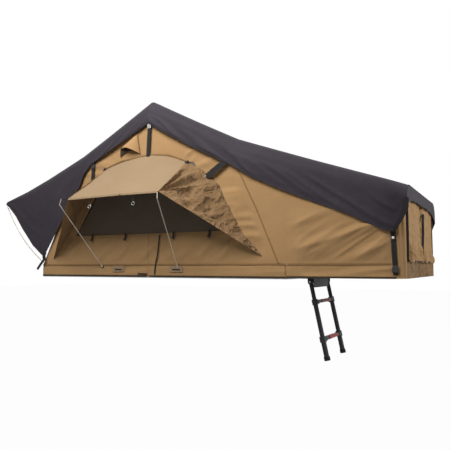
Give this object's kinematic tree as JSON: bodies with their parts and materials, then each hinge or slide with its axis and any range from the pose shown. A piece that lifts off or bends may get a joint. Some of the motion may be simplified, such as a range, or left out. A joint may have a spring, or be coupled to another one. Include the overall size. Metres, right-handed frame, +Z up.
{
  "type": "roof top tent",
  "caption": "Soft-shell roof top tent that folds out on hinged bows, with rain fly, propped side awning, closed entrance porch and a telescopic ladder.",
  "frame": {"origin": "centre of the roof-bar bolt pattern, on the underside of the mounting rails", "axes": "+Z up, +X from the fixed half towards the fold-out half and the ladder, -Y the side with the awning"},
  "size_m": [3.7625, 1.7908, 2.0783],
  "materials": {
    "alloy_frame": "satin mill finish",
    "floor_sheet": "brushed sandwich sheet",
    "mattress_cover": "soft knitted cover",
    "canvas": "matt woven canvas",
    "fly_cloth": "coated polyester, slight sheen",
    "window_mesh": "fine black mesh",
    "webbing": "woven black webbing",
    "rod_steel": "bright spring steel",
    "pin_steel": "plated steel",
    "black_fitting": "matt moulded",
    "ladder_black": "black anodised",
    "tread_red": "matt moulded",
    "foot_rubber": "matt"
  },
  "bodies": {
    "base_fixed": {"fixed_frame": "alloy_frame", "fixed_panel": "floor_sheet", "mounting_rails": "alloy_frame", "fixed_mattress": "mattress_cover", "fixed_hinge_plates": "alloy_frame", "hinge_pins": "pin_steel", "left_bow_pins": "pin_steel", "fixed_rod_brackets": "black_fitting", "fixed_skirt": "canvas", "left_roof": "canvas", "left_walls": "canvas", "left_mesh": "window_mesh", "vent_hood": "canvas", "fly_left": "fly_cloth", "left_straps": "webbing"},
    "base_fold": {"fold_frame": "alloy_frame", "fold_panel": "floor_sheet", "fold_mattress": "mattress_cover", "fold_hinge_plates": "alloy_frame", "right_bow_pins": "pin_steel", "fold_rod_brackets": "black_fitting", "fold_skirt": "canvas", "right_roof": "canvas", "right_walls": "canvas", "right_mesh": "window_mesh", "fly_right": "fly_cloth", "ladder_bracket": "ladder_black", "ladder_pins": "pin_steel"},
    "left_bow": {"left_bow": "alloy_frame"},
    "middle_bow": {"middle_bow": "alloy_frame"},
    "right_bow": {"right_bow": "alloy_frame"},
    "fly_hoop": {"fly_hoop": "alloy_frame"},
    "hood": {"hood_rods": "rod_steel", "fly_hood": "fly_cloth"},
    "porch": {"porch_rods": "rod_steel", "fly_porch": "fly_cloth", "porch_walls": "canvas", "end_curtains": "canvas", "end_band": "canvas", "corner_strap": "webbing"},
    "awning_left": {"awning_left": "canvas"},
    "awning_right": {"awning_right": "canvas"},
    "awning_rod_left": {"awning_rod_left": "rod_steel"},
    "awning_rod_right": {"awning_rod_right": "rod_steel"},
    "ladder_top": {"ladder_top_rails": "ladder_black"},
    "ladder_mid": {"ladder_mid_rails": "ladder_black", "ladder_mid_collars": "black_fitting", "ladder_mid_rung": "ladder_black", "ladder_mid_tread": "tread_red"},
    "ladder_low": {"ladder_low_rails": "ladder_black", "ladder_low_collars": "black_fitting", "ladder_low_rung": "ladder_black", "ladder_low_tread": "tread_red", "ladder_feet": "foot_rubber"},
    "mid_latch_near": {"mid_latch_near": "tread_red"},
    "mid_latch_far": {"mid_latch_far": "tread_red"},
    "low_latch_near": {"low_latch_near": "tread_red"},
    "low_latch_far": {"low_latch_far": "tread_red"}
  },
  "joints": [
    {"name": "base_fold_hinge", "type": "hinge", "parent": "base_fixed", "child": "base_fold", "pos_m": [0.6, 0, 0.15], "axis": [0, -1, 0], "range_deg": [0, 180], "deforming": ["left_roof", "left_walls", "left_mesh", "vent_hood", "fly_left", "left_straps", "right_roof", "right_walls", "right_mesh", "fly_right", "fly_hood", "fly_porch", "porch_walls", "end_curtains", "end_band", "corner_strap", "awning_left", "awning_right"]},
    {"name": "middle_bow_hinge", "type": "hinge", "parent": "base_fixed", "child": "middle_bow", "pos_m": [0.6, 0, 0.15], "axis": [0, -1, 0], "range_deg": [0, 90]},
    {"name": "left_bow_hinge", "type": "hinge", "parent": "base_fixed", "child": "left_bow", "pos_m": [0.56, 0, 0.128], "axis": [0, -1, 0], "range_deg": [0, 53]},
    {"name": "right_bow_hinge", "type": "hinge", "parent": "base_fold", "child": "right_bow", "pos_m": [0.64, 0, 0.128], "axis": [0, -1, 0], "range_deg": [-50, 0]},
    {"name": "fly_hoop_hinge", "type": "hinge", "parent": "middle_bow", "child": "fly_hoop", "pos_m": [0.6, 0, 1.315], "axis": [0, -1, 0], "range_deg": [0, 180]},
    {"name": "hood_hinge", "type": "hinge", "parent": "base_fixed", "child": "hood", "pos_m": [-0.575, 0, 0.11], "axis": [0, -1, 0], "range_deg": [-134, 0]},
    {"name": "porch_hinge", "type": "hinge", "parent": "base_fold", "child": "porch", "pos_m": [1.775, 0, 0.1], "axis": [0, -1, 0], "range_deg": [0, 150]},
    {"name": "awning_left_tuck", "type": "hinge", "parent": "base_fixed", "child": "awning_left", "pos_m": [0.3, -0.693, 0.112], "axis": [-1, 0, 0], "range_deg": [0, 90]},
    {"name": "awning_right_tuck", "type": "hinge", "parent": "base_fold", "child": "awning_right", "pos_m": [0.9, -0.693, 0.112], "axis": [-1, 0, 0], "range_deg": [0, 90]},
    {"name": "awning_rod_left_swing", "type": "hinge", "parent": "base_fixed", "child": "awning_rod_left", "pos_m": [0.12, -0.702, 0.092], "axis": [0, -0.8119, -0.5839], "range_deg": [0, 76]},
    {"name": "awning_rod_right_swing", "type": "hinge", "parent": "base_fold", "child": "awning_rod_right", "pos_m": [0.892, -0.702, 0.092], "axis": [0, 0.8074, 0.59], "range_deg": [0, 81]},
    {"name": "ladder_swing", "type": "hinge", "parent": "base_fold", "child": "ladder_top", "pos_m": [1.812, 0, -0.03], "axis": [0, -1, 0], "range_deg": [-102, 60]},
    {"name": "ladder_mid_slide", "type": "slide", "parent": "ladder_top", "child": "ladder_mid", "axis": [-0.2079, 0, 0.9781], "range_m": [0, 0.08]},
    {"name": "ladder_low_slide", "type": "slide", "parent": "ladder_mid", "child": "ladder_low", "axis": [-0.2079, 0, 0.9781], "range_m": [0, 0.08]},
    {"name": "mid_latch_near_slide", "type": "slide", "parent": "ladder_mid", "child": "mid_latch_near", "axis": [0, 1, 0], "range_m": [0, 0.012], "stiffness_N_per_m": 300, "springref_m": -0.004},
    {"name": "mid_latch_far_slide", "type": "slide", "parent": "ladder_mid", "child": "mid_latch_far", "axis": [0, -1, 0], "range_m": [0, 0.012], "stiffness_N_per_m": 300, "springref_m": -0.004},
    {"name": "low_latch_near_slide", "type": "slide", "parent": "ladder_low", "child": "low_latch_near", "axis": [0, 1, 0], "range_m": [0, 0.012], "stiffness_N_per_m": 300, "springref_m": -0.004},
    {"name": "low_latch_far_slide", "type": "slide", "parent": "ladder_low", "child": "low_latch_far", "axis": [0, -1, 0], "range_m": [0, 0.012], "stiffness_N_per_m": 300, "springref_m": -0.004}
  ],
  "couplings": [
    {"joint": "middle_bow_hinge", "follows": "base_fold_hinge", "ratio": 0.5},
    {"joint": "left_bow_hinge", "follows": "base_fold_hinge", "ratio": 0.29444},
    {"joint": "right_bow_hinge", "follows": "base_fold_hinge", "ratio": -0.27777},
    {"joint": "fly_hoop_hinge", "follows": "base_fold_hinge", "ratio": 1},
    {"joint": "hood_hinge", "follows": "base_fold_hinge", "ratio": -0.74444},
    {"joint": "porch_hinge", "follows": "base_fold_hinge", "ratio": 0.83333},
    {"joint": "awning_left_tuck", "follows": "base_fold_hinge", "ratio": 0.5},
    {"joint": "awning_right_tuck", "follows": "base_fold_hinge", "ratio": 0.5},
    {"joint": "awning_rod_left_swing", "follows": "base_fold_hinge", "ratio": 0.42222},
    {"joint": "awning_rod_right_swing", "follows": "base_fold_hinge", "ratio": 0.45}
  ]
}
